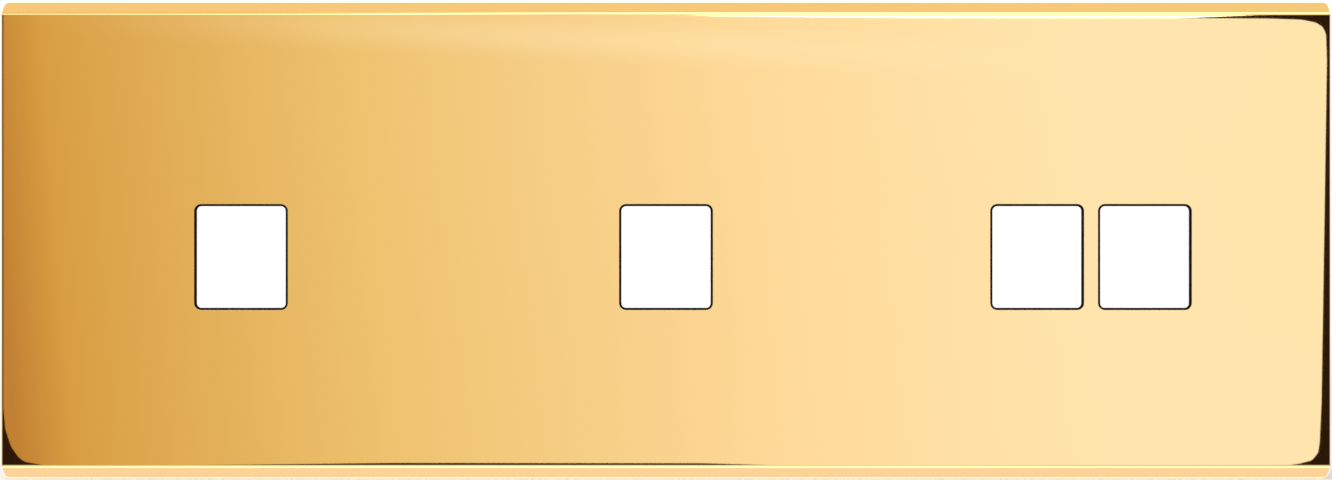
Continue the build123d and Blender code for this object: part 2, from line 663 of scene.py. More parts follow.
def large_flats(bm: Mesh, area: float) -> set[Face]:
    """Find the faces that lie in large flat regions.

    Args:
        bm: mesh, in millimetres.
        area: area from which a region counts as large, in square millimetres.

    Returns:
        The faces of all large regions.
    """
    level = 1 - 1e-6
    found, seen = set(), set()
    for seed in bm.faces:
        region, queue = [], [seed] if seed not in seen else []
        seen.add(seed)
        while queue:
            face = queue.pop()
            region.append(face)
            beside = {other for edge in face.edges for other in edge.link_faces} - seen
            level_with = {other for other in beside if other.normal.dot(face.normal) > level}
            seen |= level_with
            queue.extend(level_with)
        if sum(face.calc_area() for face in region) > area:
            found.update(region)
    return found


def shade(bm: Mesh, crisp_angle: float = 32.0, flat_angle: float = 0.4, flat_area: float = 20.0) -> None:
    """Shade a mesh smooth, and keep its corners and the borders of large flat areas crisp.

    Args:
        bm: closed mesh, in millimetres.
        crisp_angle: angle from which an edge stays crisp, in degrees.
        flat_angle: the same for an edge of a large flat region.
        flat_area: area from which a flat region is large, in square millimetres.
    """
    bm.normal_update()
    for face in bm.faces:
        face.smooth = True
    flats = large_flats(bm, flat_area)
    for edge in bm.edges:
        on_flat = any(face in flats for face in edge.link_faces)
        edge.smooth = edge.calc_face_angle(0.0) < math.radians(flat_angle if on_flat else crisp_angle)


def ease_edges(bm: Mesh, offset: float, from_angle: float, segments: int = 2) -> None:
    """Bevel the convex edges of a solid.

    Args:
        bm: the solid.
        offset: width of the bevel on each side.
        from_angle: angle between faces from which an edge is bevelled, in degrees.
        segments: strips in the bevel.
    """
    limit = math.radians(from_angle)
    edges = [edge for edge in bm.edges if edge.is_convex and edge.calc_face_angle(0.0) > limit]
    bevel(bm, edges, offset, segments)


def node_copy(node: str, merge: float = 0.002, flat_angle: float = 0.3) -> Mesh:
    """Copy a node's mesh, in millimetres, with its loose triangles merged into flat faces.

    Args:
        node: name of the node.
        merge: distance under which vertices are merged.
        flat_angle: angle up to which faces count as one flat face, in degrees.

    Returns:
        The copy.
    """
    bm = bmesh.new()
    bm.from_mesh(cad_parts[node].data)
    bmesh.ops.scale(bm, vec=(1 / MM, 1 / MM, 1 / MM), verts=bm.verts)
    bmesh.ops.remove_doubles(bm, verts=bm.verts, dist=merge)
    flat = math.radians(flat_angle)
    bmesh.ops.dissolve_limit(bm, angle_limit=flat, verts=bm.verts, edges=bm.edges)
    return bm


def merge_in(bm: Mesh, part: Mesh) -> None:
    """Add a mesh to another one.

    Args:
        bm: mesh to add to.
        part: mesh that is added, and freed.
    """
    mesh = bpy.data.meshes.new("part")
    part.to_mesh(mesh)
    part.free()
    bm.from_mesh(mesh)
    bpy.data.meshes.remove(mesh)


def add_object(name: str, bm: Mesh, materials: list[Material]) -> Piece:
    """Turn a mesh in metres into an object of the scene, at the origin.

    Args:
        name: name of the object.
        bm: its mesh, which is freed.
        materials: materials for its slots.

    Returns:
        The new object.
    """
    mesh = bpy.data.meshes.new(name)
    bm.to_mesh(mesh)
    bm.free()
    for material in materials:
        mesh.materials.append(material)
    piece = bpy.data.objects.new(name, mesh)
    bpy.context.scene.collection.objects.link(piece)
    return piece


def make_piece(name: str, bm: Mesh, materials: list[Material]) -> Piece:
    """Shade a closed mesh in millimetres and turn it into a piece at the origin.

    Args:
        name: name of the piece.
        bm: its mesh, which is freed.
        materials: materials for its slots.

    Returns:
        The new object.
    """
    shade(bm)
    bmesh.ops.scale(bm, vec=(MM, MM, MM), verts=bm.verts)
    return add_object(name, bm, materials)


def stand_for(piece: Piece, node: str) -> None:
    """Let a piece ride on the body in place of a node.

    Args:
        piece: finished piece.
        node: node that it replaces.
    """
    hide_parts(node)
    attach(piece, BODY)
    LOG.info("%s: %d faces", piece.name, len(piece.data.polygons))


@dataclass(frozen=True)
class GangLayout:
    """Places of the ports and screws, which the plate shares with its inserts."""

    pitch: float = 71.0
    twin_pitch: float = 18.0
    port_drop: float = 2.85
    screw_offset: float = 29.0

    def ports(self, gang: Gang) -> list[Point]:
        """Return the centres of a gang's ports, of which the right gang has two."""
        twins = (-self.twin_pitch / 2, self.twin_pitch / 2) if gang is Gang.RIGHT else (0.0,)
        return [(gang * self.pitch + shift, -self.port_drop) for shift in twins]

    def screws(self) -> list[Point]:
        """Return the place of each screw."""
        return [(gang * self.pitch, end * self.screw_offset) for gang in Gang for end in End]


@dataclass
class FacePlate:
    """Brass face plate: a flat polished tray with leaning top and bottom sides."""

    width: float
    height: float
    depth: float
    layout: GangLayout
    face_thickness: float = 2.0
    wall_thickness: float = 2.0
    side_lean: float = 2.0
    rim_land: float = 1.2
    rim_bend_width: float = 1.0
    long_edge_width: float = 0.42
    long_edge_steps: int = 8
    corner_radius: float = 1.0
    corner_cuts: int = 6
    eased_edge: float = 0.15
    easing_steps: int = 3
    cut_size: Span = (15.6, 17.7)
    cut_radius: float = 1.15
    cut_easing: float = 0.06
    hollow_radius: float = 2.0
    floor_fillet: float = 0.6
    floor_steps: int = 5
    boss_radius: float = 3.0
    boss_height: float = 2.0
    boss_sides: int = 48
    boss_fillet: float = 0.3
    boss_easing: float = 0.15
    countersink: float = 0.2
    thread_radius: float = 1.28
    thread_floor: float = 0.8
    drill_point: float = 0.35

    def outside(self) -> Mesh:
        """Build the outer shape as a convex solid.

        Returns:
            The solid, in millimetres.
        """
        bm = bmesh.new()
        place = Matrix.Translation((0.0, -self.depth / 2, 0.0))
        size = Matrix.Diagonal((self.width, self.depth, self.height, 1.0))
        bmesh.ops.create_cube(bm, size=1.0, matrix=place @ size)
        for end in End:
            ridge = Vector((0.0, -self.rim_land, end * self.height / 2))
            lean = Vector((0.0, -self.side_lean, end * (self.depth - self.rim_land)))
            cut_away(bm, ridge, lean.normalized())
        self.round_long_edges(bm, -self.rim_land, self.rim_bend_width)
        self.round_long_edges(bm, -self.depth, self.long_edge_width)
        for side in Side:
            for end in End:
                self.round_corner(bm, side, end)
        ease_edges(bm, self.eased_edge, from_angle=35.0, segments=self.easing_steps)
        half = self.width / 2
        for vert in bm.verts:
            vert.co.x = max(-half, min(half, vert.co.x))
        return bm

    def round_long_edges(self, bm: Mesh, y: float, width: float) -> None:
        """Round the two long edges that lie at one depth.

        Args:
            bm: the solid.
            y: depth of the edges.
            width: width of the rounding on each face.
        """
        tolerance = 10 * CLOSE
        edges = [
            edge for edge in bm.edges
            if all(abs(vert.co.y - y) < tolerance for vert in edge.verts)
            and abs(edge.verts[0].co.z - edge.verts[1].co.z) < tolerance
            and edge.calc_face_angle(0.0) > tolerance
        ]
        bevel(bm, edges, width, self.long_edge_steps)

    def round_corner(self, bm: Mesh, side: Side, end: End) -> None:
        """Round one corner of the outline by cuts that touch its arc.

        Args:
            bm: the solid.
            side: side of the corner.
            end: end of the corner.
        """
        radius = self.corner_radius
        centre_x = self.width / 2 - radius
        centre_z = self.height / 2 - radius
        for number in range(self.corner_cuts):
            angle = QUARTER * (number + 0.5) / self.corner_cuts
            across, up = math.cos(angle), math.sin(angle)
            touch = Vector((side * (centre_x + radius * across), 0, end * (centre_z + radius * up)))
            cut_away(bm, touch, Vector((side * across, 0, end * up)))

    def farthest_face(self, bm: Mesh, way: Way) -> Face:
        """Return the flat face that ends the plate in one direction."""
        return max(bm.faces, key=lambda face: (way * face.normal.y, face.calc_area()))

    def cut_wall(self, bm: Mesh, centre: Point) -> None:
        """Build the wall of one cut-out, open at both ends.

        Args:
            bm: mesh to add to.
            centre: X and Z of its centre.
        """
        width, height = (side + 2 * self.cut_easing for side in self.cut_size)
        radius = self.cut_radius + self.cut_easing
        face = rounded_face(bm, (width, height), radius, centre, -self.depth)
        turn_in(bm, face, self.cut_easing, Way.WALL, self.easing_steps)
        opened(bm, drawn(bm, face, self.face_thickness - self.cut_easing))

    def boss(self, bm: Mesh, place: Point) -> None:
        """Build one screw boss with its threaded hole, open at its foot.

        Args:
            bm: mesh to add to.
            place: X and Z of its axis.
        """
        foot_radius = self.boss_radius + self.boss_fillet
        face = round_face(bm, foot_radius, place, self.face_thickness - self.depth, self.boss_sides)
        turn_in(bm, face, self.boss_fillet, Way.WALL, steps=4)
        face = drawn(bm, face, self.boss_height - self.boss_fillet - self.boss_easing)
        turn_over(bm, face, self.boss_easing, Way.WALL, steps=2)
        countersink = self.countersink
        land = self.boss_radius - self.boss_easing - self.thread_radius - countersink
        step(bm, face, land, 0.0)
        step(bm, face, countersink, -countersink)
        hole_depth = self.boss_height + self.face_thickness - self.thread_floor - countersink
        face = drawn(bm, face, -hole_depth)
        face.normal_update()
        bmesh.ops.poke(bm, faces=[face], offset=-self.drill_point * face.normal.y)

    def hollow(self, bm: Mesh) -> None:
        """Build the walls of the hollow back, open at its mouth and at its floor.

        Args:
            bm: mesh to add to.
        """
        wall = self.wall_thickness
        size = (self.width - 2 * wall, self.height - 2 * wall)
        mouth = rounded_face(bm, size, self.hollow_radius, (0.0, 0.0), 0.0)
        turn_in(bm, mouth, self.eased_edge, Way.FRONT, self.easing_steps)
        face = drawn(bm, mouth, self.eased_edge - self.rim_land)
        slope = self.side_lean / (self.depth - self.rim_land)
        rise = self.depth - self.face_thickness - self.rim_land
        lean = slope * rise + wall * (math.hypot(1.0, slope) - 1.0)
        half = size[1] / 2 - self.eased_edge
        face = drawn(bm, face, self.floor_fillet - rise)
        bmesh.ops.scale(bm, vec=(1.0, 1.0, (half - lean) / half), verts=face.verts)
        turn_over(bm, face, self.floor_fillet, Way.FRONT, self.floor_steps)
        opened(bm, face)

    def build(self, polished: Material, satin: Material) -> Piece:
        """Build the plate.

        Args:
            polished: material of the face and the outer sides.
            satin: material of the hollow back.

        Returns:
            The finished piece.
        """
        bm = self.outside()
        bm.normal_update()
        for way in Way:
            opened(bm, self.farthest_face(bm, way))
        outer = set(bm.faces)
        for gang in Gang:
            for centre in self.layout.ports(gang):
                self.cut_wall(bm, centre)
        for place in self.layout.screws():
            self.boss(bm, place)
        self.hollow(bm)
        filled(bm, self.face_thickness - self.depth, Way.WALL)
        filled(bm, 0.0, Way.WALL)
        inner = [face for face in bm.faces if face not in outer]
        for face in inner:
            face.material_index = BrassZone.SATIN
        filled(bm, -self.depth, Way.FRONT)
        bmesh.ops.remove_doubles(bm, verts=bm.verts, dist=CLOSE)
        bmesh.ops.recalc_face_normals(bm, faces=bm.faces)
        return make_piece("face_plate_brass", bm, [polished, satin])


@dataclass
class PortInsert:
    """Black moulded insert with the housings of its snap-in ports.

    The faces in front of the depth lip_zone take the lip plastic, darker and duller than the body:
    painted shade in the plate's cut-outs. They are the lips and the front of the flange, which lies
    hidden against the back of the plate's face.
    """

    gang: Gang
    layout: GangLayout
    edge_width: float = 0.08
    lip_front: float = -8.75
    lip_foot: float = -6.95
    lip_zone: float = -6.9
    lip_size: Span = (15.5, 17.6)
    lip_radius: float = 1.1
    lip_width: float = 0.29
    lip_easing: float = 0.06
    flange_back: float = -5.4
    mark_places: Outline = (
        (-17.0, 23.0), (17.0, 23.0), (-17.0, -23.0), (17.0, -23.0), (-20.5, 9.0), (20.5, 9.0),
    )
    mark_radius: float = 1.5
    mark_height: float = 0.12
    mark_easing: float = 0.05
    mark_sides: int = 32
    gate_place: Point = (0.0, -23.4)
    gate_radius: float = 0.8
    gate_height: float = 0.35
    sunk: float = 0.05
    easing_steps: int = 2

    @property
    def node(self) -> str:
        """Name of the node that the insert replaces."""
        return f"{self.gang.name.lower()}_insert"

    def lip(self, bm: Mesh, centre: Point) -> None:
        """Add the thin lip round one port, which lines the cut-out of the plate.

        Args:
            bm: mesh to add to.
            centre: X and Z of the port's centre.
        """
        foot = rounded_face(bm, self.lip_size, self.lip_radius, centre, self.lip_foot)
        face = drawn(bm, foot, self.lip_front + self.lip_easing - self.lip_foot)
        turn_over(bm, face, self.lip_easing, Way.FRONT, self.easing_steps)
        step(bm, face, self.lip_width - 2 * self.lip_easing, 0.0)
        turn_in(bm, face, self.lip_easing, Way.WALL, self.easing_steps)
        face = drawn(bm, face, self.lip_foot - self.lip_front - self.lip_easing)
        opened(bm, foot)
        opened(bm, face)
        filled(bm, self.lip_foot, Way.WALL)

    def disc(self, bm: Mesh, place: Point, radius: float, height: float) -> None:
        """Add a low round mark on the back of the flange.

        Args:
            bm: mesh to add to.
            place: X and Z of its centre from the centre of the gang.
            radius: its radius.
            height: how far it stands out.
        """
        centre = (self.gang * self.layout.pitch + place[0], place[1])
        face = round_face(bm, radius, centre, self.flange_back - self.sunk, self.mark_sides)
        face = drawn(bm, face, self.sunk + height - self.mark_easing)
        turn_over(bm, face, self.mark_easing, Way.WALL, self.easing_steps)

    def build(self, plastic: Material, lip_plastic: Material) -> Piece:
        """Build the insert with the small radii and marks that its mould gives it.

        Args:
            plastic: material of the insert.
            lip_plastic: material of the lips that show in the plate's face, with painted shade.

        Returns:
            The finished piece.
        """
        bm = node_copy(self.node)
        ease_edges(bm, self.edge_width, from_angle=40.0)
        for place in self.mark_places:
            self.disc(bm, place, self.mark_radius, self.mark_height)
        self.disc(bm, self.gate_place, self.gate_radius, self.gate_height)
        for centre in self.layout.ports(self.gang):
            self.lip(bm, centre)
        bmesh.ops.recalc_face_normals(bm, faces=bm.faces)
        # Faces in front of lip_zone take the lip plastic, darker and duller as painted shade.
        for face in bm.faces:
            in_painted_shade = face.calc_center_median().y < self.lip_zone
            face.material_index = PlasticZone.LIP if in_painted_shade else PlasticZone.BODY
        return make_piece(f"{self.node}_moulding", bm, [plastic, lip_plastic])


@dataclass
class SpringClip:
    """Leaf spring of stainless strip that grips one edge of a wall frame."""

    gang: Gang
    end: End
    edge_width: float = 0.06

    @property
    def node(self) -> str:
        """Name of the node that the clip replaces."""
        return f"{self.gang.name.lower()}_{self.end.name.lower()}_clip"

    def build(self, steel: Material) -> Piece:
        """Build the clip with its edges slightly rounded.

        Args:
            steel: material of the clip.

        Returns:
            The finished piece.
        """
        bm = node_copy(self.node)
        ease_edges(bm, self.edge_width, from_angle=50.0)
        bmesh.ops.recalc_face_normals(bm, faces=bm.faces)
        return make_piece(f"{self.node}_strip", bm, [steel])


@dataclass
class FixingScrew:
    """Slotted cheese head screw of size M2.5, whose head faces the wall.

    The crest and the foot of the thread are given as shares of the pitch.
    """

    tip: float = -7.9
    head_foot: float = -4.4
    core_radius: float = 1.0
    tip_bevel: float = 0.3
    neck: float = 0.25
    thread_radius: float = 1.25
    thread_root: float = 0.9
    pitch: float = 0.45
    crest: Span = (0.4, 0.55)
    thread_foot: float = 0.95
    head_radius: float = 2.25
    head_height: float = 1.6
    head_easing: float = 0.3
    slot_width: float = 0.6
    slot_depth: float = 0.7
    slot_easing: float = 0.05
    web_scale: float = 0.999
    sides: int = 64
    turn_steps: int = 28
    easing_steps: int = 5

    def shank(self, bm: Mesh, place: Point) -> None:
        """Add the core below the head.

        Args:
            bm: mesh to add to.
            place: X and Z of the axis.
        """
        face = round_face(bm, self.core_radius, place, self.head_foot, self.sides)
        tip = drawn(bm, face, self.tip + self.tip_bevel - self.head_foot)
        step(bm, tip, self.tip_bevel, -self.tip_bevel)

    def thread(self, bm: Mesh, place: Point) -> None:
        """Add the helical ridge round the core.

        Args:
            bm: mesh to add to.
            place: X and Z of the axis.
        """
        start = self.tip + self.tip_bevel
        turns = (self.head_foot - self.neck - start) / self.pitch - 1
        profile = (
            (self.thread_root, 0.0), (self.thread_radius, self.crest[0] * self.pitch),
            (self.thread_radius, self.crest[1] * self.pitch),
            (self.thread_root, self.thread_foot * self.pitch),
        )
        face = bm.faces.new([bm.verts.new((place[0] + r, start + y, place[1])) for r, y in profile])
        bmesh.ops.spin(
            bm, geom=[face, *face.edges], cent=(place[0], start, place[1]), axis=(0, 1, 0),
            dvec=(0.0, self.pitch / self.turn_steps, 0.0), angle=-math.tau * turns,
            steps=round(turns * self.turn_steps),
        )
        bmesh.ops.holes_fill(bm, edges=[edge for edge in bm.edges if edge.is_boundary], sides=4)

    def blank(self, place: Point, easing: float) -> Mesh:
        """Return the head as a solid without its slot.

        Args:
            place: X and Z of the axis.
            easing: radius of the rounding round its top.

        Returns:
            A new mesh in millimetres.
        """
        bm = bmesh.new()
        face = round_face(bm, self.head_radius, place, self.head_foot, self.sides)
        face = drawn(bm, face, self.head_height - easing)
        if easing:
            turn_over(bm, face, easing, Way.WALL, self.easing_steps)
        bmesh.ops.recalc_face_normals(bm, faces=bm.faces)
        return bm

    def wing(self, place: Point, side: Side) -> Mesh:
        """Return the half of the head on one side of the slot.

        Args:
            place: X and Z of the axis.
            side: side of the slot.

        Returns:
            A new mesh in millimetres.
        """
        bm = self.blank(place, self.head_easing)
        x = place[0] + side * self.slot_width / 2
        top = self.head_foot + self.head_height
        cut_away(bm, Vector((x, 0, 0)), Vector((-side, 0, 0)))
        rim = [
            edge for edge in bm.edges
            if all(abs(vert.co.x - x) < CLOSE and vert.co.y > top - CLOSE for vert in edge.verts)
        ]
        bevel(bm, rim, self.slot_easing, segments=2)
        return bm

    def web(self, place: Point) -> Mesh:
        """Return the web below the slot, which reaches a little into both wings.

        It is a trifle shorter along the slot than the wings, so that its ends and theirs don't
        coincide.

        Args:
            place: X and Z of the axis.

        Returns:
            A new mesh in millimetres.
        """
        bm = self.blank(place, 0.0)
        reach = self.slot_width / 2 + 2 * self.slot_easing
        for side in Side:
            cut_away(bm, Vector((place[0] + side * reach, 0, 0)), Vector((side, 0, 0)))
        slot_floor = self.head_foot + self.head_height - self.slot_depth
        cut_away(bm, Vector((0, slot_floor, 0)), Vector((0, 1, 0)))
        axis = Matrix.Translation((0, 0, -place[1]))
        bmesh.ops.scale(bm, vec=(1.0, 1.0, self.web_scale), space=axis, verts=bm.verts)
        return bm

    def add_to(self, bm: Mesh, place: Point) -> None:
        """Add the whole screw at one place.

        Args:
            bm: mesh to add to.
            place: X and Z of the axis.
        """
        self.shank(bm, place)
        self.thread(bm, place)
        for side in Side:
            merge_in(bm, self.wing(place, side))
        merge_in(bm, self.web(place))


@dataclass
class FixingScrews:
    """The six screws that hold the inserts and clips to the bosses of the plate."""

    screw: FixingScrew
    places: list[Point]
    node: str = "fixing_screws"

    def build(self, zinc: Material) -> Piece:
        """Build all the screws as one piece.

        Args:
            zinc: material of the screws.

        Returns:
            The finished piece.
        """
        bm = bmesh.new()
        for place in self.places:
            self.screw.add_to(bm, place)
        bmesh.ops.recalc_face_normals(bm, faces=bm.faces)
        return make_piece(f"{self.node}_slotted", bm, [zinc])


@dataclass
class Camera:
    """Long lens camera square to the plate, framed as the photograph is."""

    sensor: float = 36.0
    photo_width_px: float = 1332.0
    plate_width_px: float = 1329.0
    nearest: float = 0.05
    farthest: float = 200.0

    def build(self, plate_width: float, face_y: float) -> None:
        """Place the camera and make it the scene's camera.

        Args:
            plate_width: width of the plate in metres.
            face_y: depth of its front face in metres.
        """
        data = bpy.data.cameras.new("photo_camera")
        view_width = plate_width * self.photo_width_px / self.plate_width_px
        data.sensor_width = self.sensor
        data.lens = self.sensor * CAMERA_DISTANCE / view_width
        data.clip_start = self.nearest
        data.clip_end = self.farthest
        camera = bpy.data.objects.new("photo_camera", data)
        camera.location = (0.0, face_y - CAMERA_DISTANCE, 0.0)
        camera.rotation_euler = (QUARTER, 0.0, 0.0)
        bpy.context.scene.collection.objects.link(camera)
        bpy.context.scene.camera = camera


@dataclass(frozen=True)
class PlainGlow(Finish):
    """Even glow of a card."""

    colour: Colour
    strength: float = 1.0

    def lay_out(self, sheet: NodeSheet) -> None:
        """Lay out one glowing colour."""
        sheet.glow(self.colour, self.strength)


@dataclass(frozen=True)
class SunsetGlow(Finish):
    """Glow of the front card, dim amber on its left and pale on its right, with a pale band."""

    half_width: float
    stops: Stops = (
        (0.0, (0.57, 0.31, 0.098)),
        (0.045, (0.742, 0.492, 0.165)),
        (0.27, (0.91, 0.765, 0.46)),
        (0.60, (1.07, 1.02, 1.0)),
        (0.82, (1.08, 1.125, 1.27)),
    )
    tilt: float = 4.6
    band_colour: Colour = (1.08, 1.125, 1.27)
    band_tilt: float = -2.6
    band_height: float = 0.0412
    band_reach: float = 0.0056
    band_fade: Span = (0.0, 0.6)
    band_strength: float = 0.5

    def lay_out(self, sheet: NodeSheet) -> None:
        """Lay out the gradient across the card and the band, which fades in from the left.

        Args:
            sheet: empty sheet of the material.
        """
        ends = (-self.half_width, self.half_width)
        across = sheet.remap(sheet.axes(self.tilt)["X"], ends, easing=Easing.LINEAR)
        height = sheet.axes(self.band_tilt)["Z"]
        low, high = self.band_height - self.band_reach, self.band_height + self.band_reach
        rising = sheet.remap(height, (low, self.band_height))
        falling = sheet.remap(height, (self.band_height, high), (1.0, 0.0))
        fading = sheet.remap(across, self.band_fade, (0.0, self.band_strength))
        band = sheet.maths("MULTIPLY", sheet.maths("MULTIPLY", rising, falling), fading)
        sheet.glow(sheet.blend(band, sheet.ramp(across, self.stops), self.band_colour))


@dataclass(frozen=True)
class OverheadGlow(Finish):
    """Glow of the overhead card: a bright lamp at its right front, honey elsewhere."""

    name: str = "overhead_glow"
    strength: float = 2.2
    left_fade: Span = (-0.10, 0.01)
    rear_fade: Span = (0.0, 0.2)

    def lay_out(self, sheet: NodeSheet) -> None:
        """Lay out the lamp and its soft borders.

        Args:
            sheet: empty sheet of the material.
        """
        axes = sheet.axes()
        across = sheet.remap(axes["X"], self.left_fade)
        ahead = sheet.remap(axes["Y"], self.rear_fade, (1.0, 0.0))
        lamp = tuple(self.strength * part for part in LAMP_WHITE)
        sheet.glow(sheet.blend(sheet.maths("MULTIPLY", across, ahead), HONEY, lamp))


@dataclass(frozen=True)
class SweepGlow(Finish):
    """Glow of a sweep, from white beside the camera to brown and back to white."""

    side: Side
    stops: Stops = (
        (0.0, (1.0, 0.98, 0.95)),
        (0.18, (0.80, 0.66, 0.46)),
        (0.38, (0.56, 0.39, 0.20)),
        (0.60, (0.34, 0.24, 0.14)),
        (0.80, (0.60, 0.52, 0.42)),
        (1.0, WHITE),
    )

    def lay_out(self, sheet: NodeSheet) -> None:
        """Lay out the gradient round the sweep.

        Args:
            sheet: empty sheet of the material.
        """
        axes = sheet.axes()
        across = sheet.maths("MULTIPLY", axes["X"], self.side)
        ahead = sheet.maths("MULTIPLY", axes["Y"], -1.0)
        angle = sheet.maths("ARCTAN2", across, ahead)
        ends = tuple(math.radians(end) for end in SWEEP_ARC)
        sheet.glow(sheet.ramp(sheet.remap(angle, ends, easing=Easing.LINEAR), self.stops))


@dataclass(frozen=True)
class PaleFloor(Finish):
    """Pale floor that is plain white from far away and where metal or glass shows it."""

    name: str = "studio_floor"
    colour: Colour = (0.88, 0.88, 0.88)
    far_range: Span = (0.5, 2.5)
    whitening: Span = (0.25, 1.0)

    def lay_out(self, sheet: NodeSheet) -> None:
        """Lay out the lit floor and the white that takes its place.

        Args:
            sheet: empty sheet of the material.
        """
        place = sheet.add("ShaderNodeTexCoord").outputs["Object"]
        distance = sheet.add("ShaderNodeVectorMath", {0: place}, operation="LENGTH")
        far = sheet.remap(distance.outputs["Value"], self.far_range, self.whitening)
        rays = sheet.add("ShaderNodeLightPath").outputs
        seen = sheet.maths("MULTIPLY", rays["Is Camera Ray"], far)
        shown = sheet.maths("MAXIMUM", rays["Is Glossy Ray"], rays["Is Transmission Ray"])
        lit = sheet.add("ShaderNodeBsdfDiffuse", {"Color": self.colour})
        white = sheet.add("ShaderNodeEmission", {"Color": WHITE, "Strength": 1.0})
        mix = sheet.add("ShaderNodeMixShader", {
            0: sheet.maths("MAXIMUM", seen, shown), 1: lit.outputs[0], 2: white.outputs[0],
        })
        sheet.finish(mix.outputs[0])


@dataclass
class ReflectorCard(ABC):
    """Card that only reflections see, as metal in a studio mirrors its surroundings."""

    name: str
    material: Material

    @abstractmethod
    def shape(self) -> Mesh:
        """Return the card's mesh, in metres."""

    def build(self) -> None:
        """Build the card and hide it from all but reflections."""
        card = add_object(self.name, self.shape(), [self.material])
        card.visible_camera = False
        card.visible_diffuse = False
        card.visible_shadow = False
        card.visible_transmission = False


@dataclass
class FacingCard(ReflectorCard):
    """Card in front of the plate, which the flat face mirrors to the camera.

    Its outline is the one that shows on the face, as X and Z in millimetres, and its layer is 0
    for the nearest card and more for the cards behind it.
    """

    face_y: float
    outline: Outline
    layer: int
    layer_step: float = 0.002
    corner_rounding: float = 0.5
    corner_steps: int = 4

    def shape(self) -> Mesh:
        """Build the card from its outline.

        Returns:
            The card's mesh, in metres.
        """
        y = self.face_y - CARD_DISTANCE - self.layer * self.layer_step
        scale = MM * SPREAD
        bm = bmesh.new()
        corners = [bm.verts.new((x * scale, y, z * scale)) for x, z in self.outline]
        bm.faces.new(corners)
        rounding = self.corner_rounding * MM
        bevel(bm, corners, rounding, self.corner_steps, "VERTICES", clamp=True)
        return bm


@dataclass
class SweepCard(ReflectorCard):
    """Tall curved card beside the camera."""

    side: Side
    radius: float = 1.5
    height: float = 1.8
    steps: int = 32

    def shape(self) -> Mesh:
        """Spin the card's upright edge round the plate.

        Returns:
            The card's mesh, in metres.
        """
        start, end = (math.radians(angle) for angle in SWEEP_ARC)
        x, y = self.side * self.radius * math.sin(start), -self.radius * math.cos(start)
        bm = bmesh.new()
        ends = [bm.verts.new((x, y, end * self.height / 2)) for end in (-1, 1)]
        bmesh.ops.spin(
            bm, geom=[bm.edges.new(ends)], cent=(0, 0, 0), axis=(0, 0, 1), steps=self.steps,
            angle=self.side * (end - start),
        )
        return bm


@dataclass(frozen=True)
class CardPlace:
    """Place of a slanted card: degrees up from straight behind, metres away, and its size."""

    elevation: float
    distance: float
    size: Span


@dataclass
class SlantedCard(ReflectorCard):
    """Card that faces the plate from above, below or behind."""

    place: CardPlace
    end: End = End.TOP

    def shape(self) -> Mesh:
        """Build the card at its place, or at the mirror image of it below the plate.

        Returns:
            The card's mesh, in metres.
        """
        swing = Matrix.Rotation(math.radians(self.end * self.place.elevation), 4, "X")
        away = Matrix.Translation((0.0, self.place.distance, 0.0)) @ UPRIGHT
        grid = swing @ away @ Matrix.Diagonal((*self.place.size, 1.0, 1.0))
        bm = bmesh.new()
        bmesh.ops.create_grid(bm, x_segments=1, y_segments=1, size=0.5, matrix=grid)
        return bm


@dataclass
class KeyLamp:
    """Soft lamp above and in front of the plate, on the left."""

    size: Span = (1.4, 0.9)
    energy: float = 14.0
    place: Triple = (-0.7, -1.1, 1.3)

    def build(self) -> None:
        """Add the lamp, aimed at the plate."""
        data = bpy.data.lights.new("key_lamp", "AREA")
        data.shape = "RECTANGLE"
        data.size, data.size_y = self.size
        data.energy = self.energy
        lamp = bpy.data.objects.new("key_lamp", data)
        lamp.location = self.place
        lamp.rotation_euler = (-lamp.location).to_track_quat("-Z", "Y").to_euler()
        bpy.context.scene.collection.objects.link(lamp)


